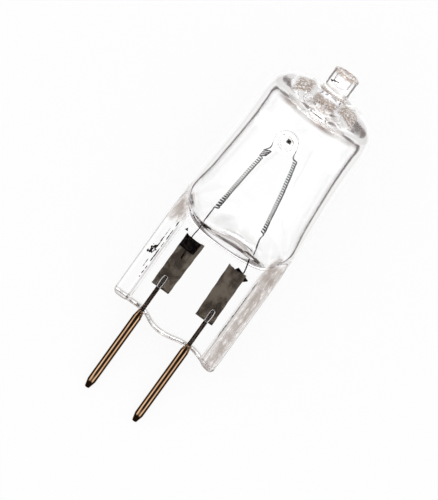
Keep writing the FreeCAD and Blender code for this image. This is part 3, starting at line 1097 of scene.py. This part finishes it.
@dataclass
class Filament:
    """The coiled wire: two legs, the bare run over the post and the tails in the glass."""

    wire: float = 0.071
    lean: float = 0.21
    coil: float = 0.2
    steps: int = 16
    eased: tuple[float, float] = (0.32, 0.68)
    left_turns: int = 28
    slanted_turns: int = 3
    right_turns: int = 32
    post_x: float = -1.05
    post_z: float = 35.2
    loop_radius: float = 0.93
    loop_depth: float = 0.03
    loop_start: float = 195.0
    loop_turn: float = 170.0
    loop_points: int = 12

    def helix(self, start: Vector, end: Vector, turns: float, bow: float,
              slants: tuple[Vector, Vector]) -> list[Vector]:
        """Points of a coil along a bowed line.

        Args:
            start: First end of the coil's middle line.
            end: Other end of the middle line.
            turns: Number of turns.
            bow: How far the line's middle stands out.
            slants: Half width of a turn across the line, at the first and the other end.

        Returns:
            The points.
        """
        along = (end - start).normalized()
        across = Vector((0, 1, 0)).cross(along)
        count = round(turns * self.steps)
        points = []
        for number in range(count + 1):
            turn, part = divmod(number, self.steps)
            share = min(1.0, (turn + smooth_step(part / self.steps, *self.eased)) / turns)
            angle = TAU * number / self.steps
            centre = start.lerp(end, share) + across * (bow * math.sin(math.pi * share))
            wide = slants[0].lerp(slants[1], share)
            deep = Vector((0, self.coil, -self.coil * self.lean))
            points.append(centre - wide * math.cos(angle) + deep * math.sin(angle))
        return points

    def path(self) -> list[Vector]:
        """Middle line of the whole wire.

        Returns:
            Its points, from the left foil to the right one.
        """
        left_foot, left_bend = Vector((-2.9, 0, 24.6)), Vector((-2.36, 0, 32.3))
        slant_foot, left_top = left_bend + Vector((0.03, 0, 0.2)), Vector((-2.17, 0, 33.25))
        right_top, right_foot = Vector((0.88, 0, 34.1)), Vector((2.41, 0, 25.17))
        level = Vector((self.coil, 0, 0))
        steep = Vector((0.36, 0, 0.2))
        points = [Vector(p) for p in (
            (-3.01, 0.1, 17.9), (-3.08, 0.1, 18.9), (-3.2, 0.12, 19.6), (-3.42, 0.12, 20.7),
            (-3.25, 0.05, 22.2), (-3.2, 0, 23.4), (-3.08, 0, 24.13),
        )]
        points += self.helix(left_foot, left_bend, self.left_turns, -0.12, (level, level))
        points += self.helix(slant_foot, left_top, self.slanted_turns, 0.0, (steep * 0.8, steep))
        points += [Vector(p) for p in ((-2.12, 0, 33.7), (-2.1, 0, 34.0), (-2.08, 0, 34.4))]
        for step in range(self.loop_points):
            angle = math.radians(self.loop_start - self.loop_turn * step / (self.loop_points - 1))
            across, up = self.loop_radius * math.cos(angle), self.loop_radius * math.sin(angle)
            points.append(Vector((self.post_x + across, self.loop_depth, self.post_z + up)))
        points.append(Vector((0.5, 0, 34.2)))
        points += self.helix(right_top, right_foot, self.right_turns, -0.18, (level, level))
        points += [Vector(p) for p in (
            (2.62, 0, 25.05), (2.50, 0, 24.53), (2.88, 0, 23.2), (3.16, 0.1, 22.1),
            (3.42, 0.3, 20.75), (3.2, 0.32, 19.6),
        )]
        return points

    def build(self, place: LampPlace) -> None:
        """Makes the wire as a mesh tube along its path.

        Args:
            place: Where the upright lamp lies.
        """
        curve = bpy.data.curves.new("wire_line", "CURVE")
        curve.dimensions = "3D"
        curve.bevel_depth = self.wire
        curve.bevel_resolution = 1
        curve.use_fill_caps = True
        points = self.path()
        spline = curve.splines.new("POLY")
        spline.points.add(len(points) - 1)
        for knot, point in zip(spline.points, points):
            knot.co = (*point, 1.0)
        carrier = bpy.data.objects.new("wire_line", curve)
        bpy.context.scene.collection.objects.link(carrier)
        bpy.context.view_layer.update()
        graph = bpy.context.evaluated_depsgraph_get()
        solid = bpy.data.meshes.new_from_object(carrier.evaluated_get(graph))
        bpy.data.objects.remove(carrier)
        bm = bmesh.new()
        bm.from_mesh(solid)
        bmesh.ops.remove_doubles(bm, verts=bm.verts, dist=1e-5)
        tungsten = MetalFinish("tungsten_wire", (0.03, 0.02, 0.02), (0.01, 0.006, 0.006), 0.55, 0.2,
                               (1.0, 1.0, 4.0), 6.0, 0.01).build(place)
        Piece("filament_wire", bm, tungsten, "tungsten", "filament").add(place)


@dataclass
class Seals:
    """The two sealing foils and the plates that clamp the filament's tails to them."""

    foil_front: float = 0.19
    foil_thickness: float = 0.04
    foil_cuts: int = 24
    plate_thickness: float = 0.09
    plate_cuts: int = 8

    def sheet(self, corners: Sequence[tuple[float, float]], y: float, thickness: float, cuts: int,
              shape: Callable[[float, float], Point]) -> Mesh:
        """Thin four-cornered sheet in the xz plane.

        Args:
            corners: The four corners as x and z, in order round the sheet.
            y: Depth of the sheet's front.
            thickness: The sheet's thickness.
            cuts: How often each side is divided.
            shape: Offset of a point by its shares across and up the sheet.

        Returns:
            The closed mesh.
        """
        bm = bmesh.new()
        made = bmesh.ops.create_grid(bm, x_segments=cuts, y_segments=cuts, size=0.5)
        low_left, low_right, high_right, high_left = (Vector((x, y, z)) for x, z in corners)
        for vert in made["verts"]:
            across, up = vert.co.x + 0.5, vert.co.y + 0.5
            low = low_left.lerp(low_right, across)
            high = high_left.lerp(high_right, across)
            vert.co = low.lerp(high, up) + Vector(shape(across, up))
        bmesh.ops.solidify(bm, geom=bm.faces[:], thickness=thickness)
        bmesh.ops.recalc_face_normals(bm, faces=bm.faces)
        return bm

    def build(self, place: LampPlace) -> None:
        """Makes both foils and both plates.

        Args:
            place: Where the upright lamp lies.
        """
        foil = MetalFinish("molybdenum_foil", (0.2, 0.17, 0.135), (0.105, 0.085, 0.07), 0.5, 0.15,
                           (0.7, 0.7, 0.5), 1.1, 0.02, 0.42, 0.62).build(place)
        plate = MetalFinish("weld_plate", (0.022, 0.018, 0.016), (0.004, 0.003, 0.003), 0.45, 0.3,
                            (1.0, 1.0, 1.0), 3.0, 0.04, 0.4, 0.6).build(place)
        sheets = {
            Side.LEFT: ((-4.1, 13.85), (-1.87, 13.85), (-1.7, 20.62), (-4.08, 20.62)),
            Side.RIGHT: ((1.76, 13.85), (3.96, 13.85), (3.86, 20.62), (1.58, 20.62)),
        }
        for side, corners in sheets.items():
            bm = self.sheet(corners, self.foil_front, self.foil_thickness, self.foil_cuts, self.foil_shape)
            Piece(f"sealing_foil_{side.label}", bm, foil, "molybdenum_foil", f"foil_{side.label}").add(place)
        plates = {
            Side.LEFT: (((-4.08, 19.15), (-2.15, 19.1), (-2.1, 20.5), (-4.05, 20.55)), -0.08),
            Side.RIGHT: (((2.42, 20.45), (3.95, 19.85), (4.3, 20.2), (2.65, 20.83)), 0.42),
        }
        for side, (corners, y) in plates.items():
            bm = self.sheet(corners, y, self.plate_thickness, self.plate_cuts, self.plate_shape)
            Piece(f"clamping_plate_{side.label}", bm, plate, "weld_tab", f"weld_tab_{side.label}").add(place)

    @staticmethod
    def plate_shape(across: float, up: float) -> Point:
        """Offset of a plate's point, which bends the plate a little."""
        return (0.0, 0.04 * math.sin(across * 5) * up, 0.0)

    @staticmethod
    def foil_shape(across: float, up: float) -> Point:
        """Offset of a foil's point: a torn top edge and faint ripples.

        Args:
            across: Share of the way across the foil.
            up: Share of the way up it.

        Returns:
            The offset.
        """
        torn = -0.16 * math.sin(math.pi * across) * smooth_step(up, 0.85, 1.0)
        ripple = 0.012 * math.sin(up * 40 + across * 3)
        return (0.015 * math.sin(up * 23), ripple, torn + 0.02 * math.sin(across * 31) * (up > 0.99))


@dataclass(frozen=True)
class Scatter:
    """Group of small dark marks in the glass, strewn over a strip of the upright lamp."""

    start: Point
    end: Point
    spread: float
    count: int
    size: float
    stretch: float


@dataclass
class SealMarks:
    """Bubbles and specks in the pinch, dark dashes along the ribs' step edges as painted edge shade, residue
    in the stub, a fleck at the post and a foil flake.
    """

    seed: int = 11
    flatness: float = 0.6
    flake_place: Point = (-4.33, 0.0, 20.95)
    flake_radii: tuple[float, float] = (0.24, 0.22)
    flake_thickness: float = 0.04
    fleck_place: Point = (-0.87, 0.0, 35.45)
    fleck_size: Point = (0.6, 0.12, 0.55)
    strips: tuple[Scatter, ...] = (
        # Painted edge shade: the first three strips are thin dark dashes along the ribs' step edges.
        Scatter((-5.62, -1.42, 13.8), (-5.58, -1.42, 21.2), 0.012, 30, 0.04, 8.0),
        Scatter((-5.9, -1.42, 15.0), (-5.86, -1.42, 20.4), 0.02, 16, 0.036, 8.0),
        Scatter((5.2, -1.35, 13.4), (5.24, -1.35, 21.0), 0.012, 34, 0.04, 7.0),
        Scatter((-6.25, -1.93, 16.7), (-6.0, -1.93, 17.9), 0.13, 34, 0.11, 1.4),
        Scatter((-5.1, -0.45, 23.35), (-2.9, -0.45, 22.7), 0.05, 20, 0.1, 0.8),
        Scatter((1.4, -0.45, 22.55), (4.6, -0.45, 23.2), 0.05, 12, 0.06, 0.8),
        Scatter((-0.65, -1.45, 42.3), (0.97, -1.45, 42.4), 0.05, 22, 0.08, 0.6),
        Scatter((-1.0, -0.9, 43.8), (-0.35, -0.9, 44.1), 0.08, 16, 0.12, 0.8),
    )

    def marks(self) -> Mesh:
        """All the marks as one mesh of small spheres, drawn out along the lamp.

        Returns:
            The mesh.
        """
        dice = random.Random(self.seed)
        bm = bmesh.new()
        for strip in self.strips:
            for _ in range(strip.count):
                spot = Vector(strip.start).lerp(Vector(strip.end), dice.random())
                spot.x += dice.gauss(0.0, strip.spread)
                size = strip.size * dice.uniform(0.5, 1.3)
                tall = size * strip.stretch * dice.uniform(0.4, 1.2)
                form = Matrix.Translation(spot) @ Matrix.Diagonal((size, size * self.flatness, tall, 1.0))
                bmesh.ops.create_icosphere(bm, subdivisions=1, radius=1.0, matrix=form)
        return bm

    def sliver(self) -> Mesh:
        """Three-cornered flake above the left foil.

        Returns:
            The closed mesh.
        """
        bm = bmesh.new()
        form = Matrix.Translation(self.flake_place) @ Matrix.Rotation(math.pi / 2, 4, "X")
        bmesh.ops.create_cone(bm, cap_ends=True, segments=3, radius1=self.flake_radii[0],
                              radius2=self.flake_radii[1], depth=self.flake_thickness, matrix=form)
        return bm

    def build(self, place: LampPlace) -> None:
        """Makes the marks and the flake.

        Args:
            place: Where the upright lamp lies.
        """
        dark = MetalFinish("residue_and_painted_edge_shade", (0.05, 0.035, 0.03), (0.01, 0.007, 0.006), 0.5, 0.2,
                           (1.0, 1.0, 1.0), 4.0, 0.01).build(place)
        fleck = bmesh.new()
        form = Matrix.Translation(self.fleck_place) @ Matrix.Diagonal((*self.fleck_size, 1.0))
        bmesh.ops.create_cube(fleck, size=1.0, matrix=form)
        Piece("seal_marks", merged([self.marks(), fleck]), dark, "quartz").add(place)
        Piece("foil_flake", self.sliver(), dark, "quartz").add(place)


@dataclass
class Studio:
    """Floor, surroundings and camera."""

    view_lean: float = 1.0
    roll: float = 35.8
    distance: float = 1.0
    pixels_per_mm: float = 9.19
    image_height: float = 500.0
    image_middle: tuple[float, float] = (219.0, 250.0)
    tips_pixel: tuple[float, float] = (110.3, 403.9)
    sensor: float = 36.0
    floor_size: float = 3.0
    floor_drop: float = 0.00002
    floor_glow: float = 0.9
    level: Point = (1.0, 1.0, 0.0)
    horizon: tuple[float, float] = (-0.14, -0.02)
    dark_end: tuple[float, float] = (-0.55, -0.7)
    dark: Point = (0.03, 0.02, 0.015)
    refracted: tuple[tuple[float, Point], ...] = (
        (0.0, (1.0, 1.0, 1.0)), (0.62, (1.0, 1.0, 1.0)), (0.7, (0.17, 0.14, 0.14)),
        (0.8, (0.2, 0.17, 0.17)), (0.9, (0.97, 0.96, 0.97)), (1.0, (1.0, 1.0, 1.0)),
    )
    mirrored: tuple[tuple[float, Point], ...] = (
        (0.0, (1.0, 1.0, 1.0)), (0.05, (1.0, 1.0, 1.0)), (0.12, (0.2, 0.15, 0.12)),
        (0.25, (0.03, 0.025, 0.02)), (0.56, (0.03, 0.025, 0.02)), (0.66, (0.9, 0.88, 0.86)),
        (0.79, (3.2, 3.1, 3.0)), (0.88, (0.9, 0.86, 0.84)), (0.92, (0.04, 0.03, 0.03)),
        (1.0, (0.02, 0.02, 0.02)),
    )

    def camera(self, place: LampPlace) -> None:
        """Camera above the lamp, turned as in the photograph.

        Args:
            place: Where the upright lamp lies.
        """
        turn = math.radians(self.roll)
        along, left = Vector((1, 0, 0)), Vector((0, 1, 0))
        right = along * math.sin(turn) - left * math.cos(turn)
        up = along * math.cos(turn) + left * math.sin(turn)
        aim = Vector(place.origin)
        aim += right * ((self.image_middle[0] - self.tips_pixel[0]) / self.pixels_per_mm * MM)
        aim += up * ((self.tips_pixel[1] - self.image_middle[1]) / self.pixels_per_mm * MM)
        lean = Matrix.Rotation(math.radians(self.view_lean), 3, "Y")
        axes = Matrix((right, up, Vector((0, 0, 1)))).transposed()
        pose = (lean @ axes).to_4x4()
        pose.translation = aim + lean @ Vector((0, 0, self.distance))
        lens = bpy.data.cameras.new("camera")
        lens.sensor_width = self.sensor
        lens.lens = self.sensor * self.distance / (self.image_height / self.pixels_per_mm * MM)
        lens.clip_start = 0.01
        lens.clip_end = 100
        camera = bpy.data.objects.new("camera", lens)
        camera.matrix_world = pose
        bpy.context.scene.collection.objects.link(camera)
        bpy.context.scene.camera = camera

    def floor(self) -> None:
        """White floor that shows full white and keeps part of the shadow."""
        bm = bmesh.new()
        bmesh.ops.create_grid(bm, x_segments=1, y_segments=1, size=self.floor_size)
        bmesh.ops.translate(bm, vec=(0, 0, -self.floor_drop), verts=bm.verts)
        data = bpy.data.meshes.new("floor")
        bm.to_mesh(data)
        bm.free()
        shader = Shader("floor")
        rays = shader.node("ShaderNodeLightPath").outputs
        shader.set(Base_Color=(0.9, 0.9, 0.9, 1.0), Roughness=0.9, Specular_IOR_Level=0.0)
        glow = shader.node("ShaderNodeEmission").outputs[0]
        clear = shader.node("ShaderNodeBsdfTransparent").outputs[0]
        shown = shader.math("MULTIPLY", rays["Is Camera Ray"], self.floor_glow)
        through = shader.math("MAXIMUM", rays["Is Glossy Ray"], rays["Is Transmission Ray"])
        lit = shader.blend(shown, shader.surface.outputs[0], glow)
        shader.feed(shader.tree.nodes["Material Output"].inputs[0], shader.blend(through, lit, clear))
        data.materials.append(shader.material)
        floor = bpy.data.objects.new("floor", data)
        bpy.context.scene.collection.objects.link(floor)

    def world(self) -> None:
        """Even light for matt surfaces, and soft boxes over a grey horizon for what mirrors it."""
        world = bpy.data.worlds.new("studio")
        world.use_nodes = True
        bpy.context.scene.world = world
        nodes = Nodes(world.node_tree)
        where = nodes.node("ShaderNodeTexCoord").outputs["Generated"]
        split = nodes.node("ShaderNodeSeparateXYZ", Vector=where).outputs
        rays = nodes.node("ShaderNodeLightPath").outputs
        level = nodes.vectors("MULTIPLY", where, self.level).outputs[0]
        below = nodes.ramp(nodes.vectors("LENGTH", level).outputs["Value"], self.refracted)
        refracted = nodes.mix(nodes.spread(split["Z"], *self.horizon), below, WHITE)
        around = nodes.ramp(nodes.spread(split["Z"], -1.0, 1.0), self.mirrored)
        mirrored = nodes.mix(nodes.spread(split["X"], *self.dark_end), around, (*self.dark, 1.0))
        seen = nodes.mix(rays["Is Glossy Ray"], WHITE, mirrored)
        seen = nodes.mix(rays["Is Transmission Ray"], seen, refracted)
        back = world.node_tree.nodes["Background"]
        nodes.feed(back.inputs["Color"], seen)
        back.inputs["Strength"].default_value = 1.0

    def build(self, place: LampPlace) -> None:
        """Makes the floor, the surroundings and the camera.

        Args:
            place: Where the upright lamp lies.
        """
        self.floor()
        self.world()
        self.camera(place)
        bpy.context.scene.view_settings.view_transform = "Standard"


def main() -> None:
    """Builds the lamp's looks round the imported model."""
    logging.basicConfig(level=logging.INFO, format="%(message)s")
    pins = ContactPins()
    place = LampPlace.from_record(frame["record"], pins.tip_taper)
    Studio().build(place)
    Quartz().build(place)
    pins.build(place)
    Seals().build(place)
    SealMarks().build(place)
    Filament().build(place)


if __name__ == "__main__":
    main()
